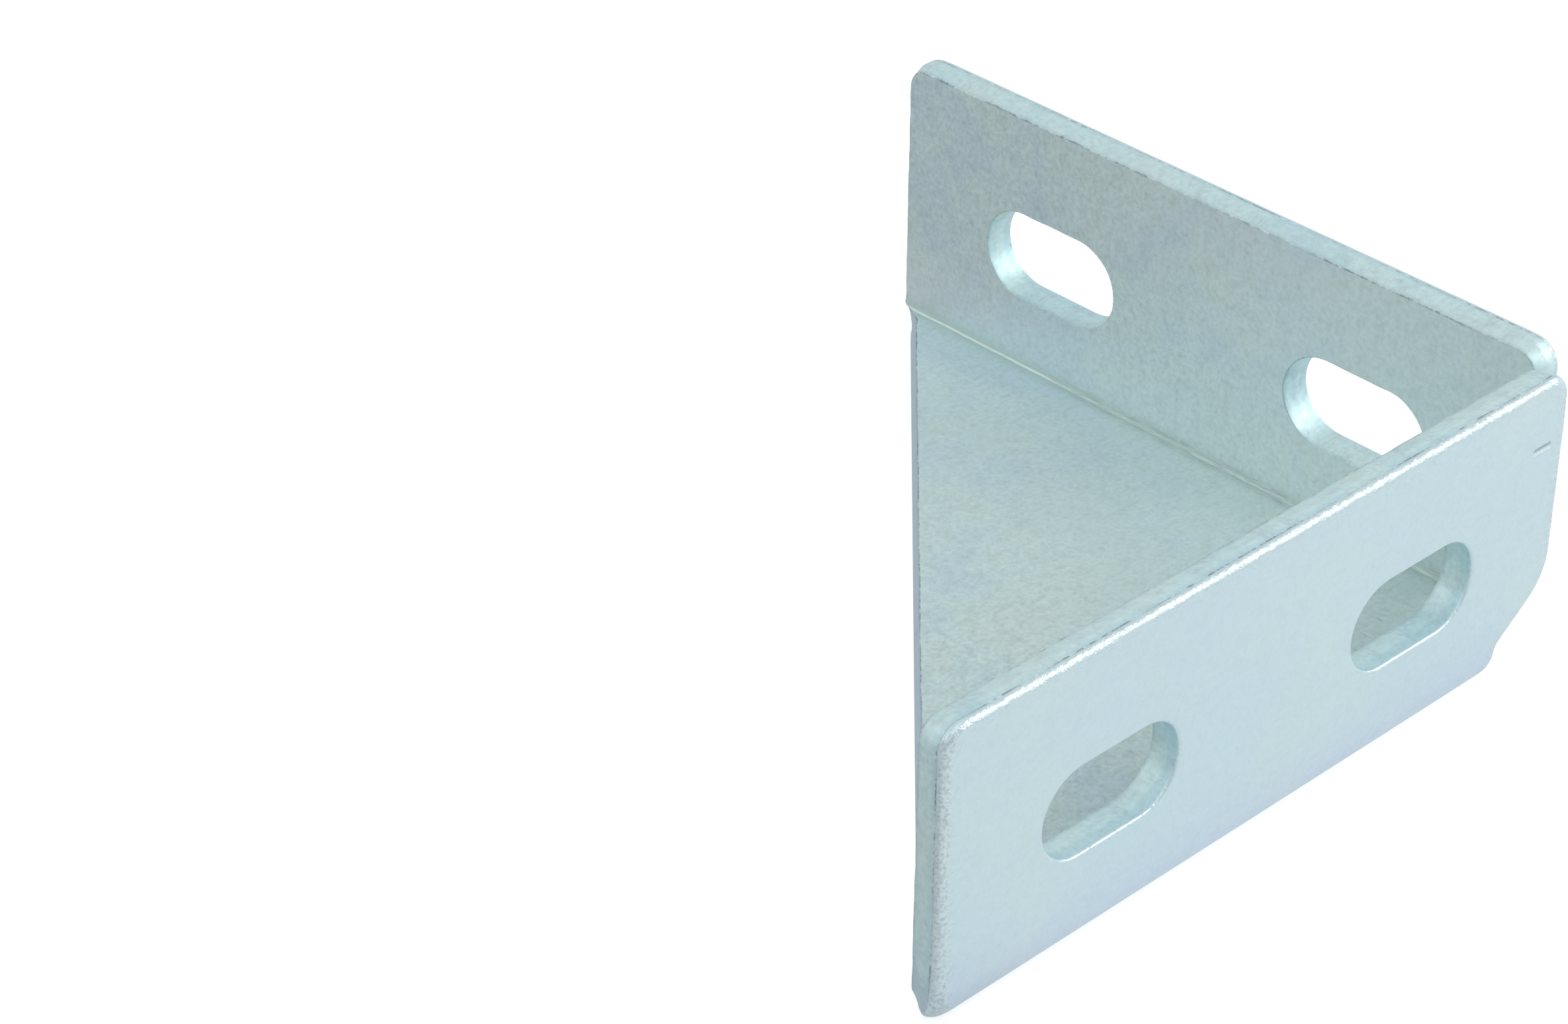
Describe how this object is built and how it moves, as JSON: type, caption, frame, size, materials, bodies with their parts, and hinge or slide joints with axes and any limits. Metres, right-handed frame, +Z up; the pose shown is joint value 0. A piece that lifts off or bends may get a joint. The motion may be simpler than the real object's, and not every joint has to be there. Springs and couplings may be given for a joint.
{
  "type": "gusseted angle bracket",
  "caption": "Right-angle bracket folded from one steel sheet: a flat triangular web with a slotted flange standing on each square side.",
  "frame": {"origin": "middle of the square that the two legs span, on the underside of the web", "axes": "+Z up, square to the web; +X square to the side flange's outer face; -Y square to the front flange's outer face; the heel is at +X, -Y"},
  "size_m": [0.1, 0.1, 0.038],
  "materials": {
    "zinc_plate": "bright zinc plating with a pale blue passivated film, faintly mottled"
  },
  "bodies": {
    "root": {"bracket": "zinc_plate"}
  },
  "joints": []
}
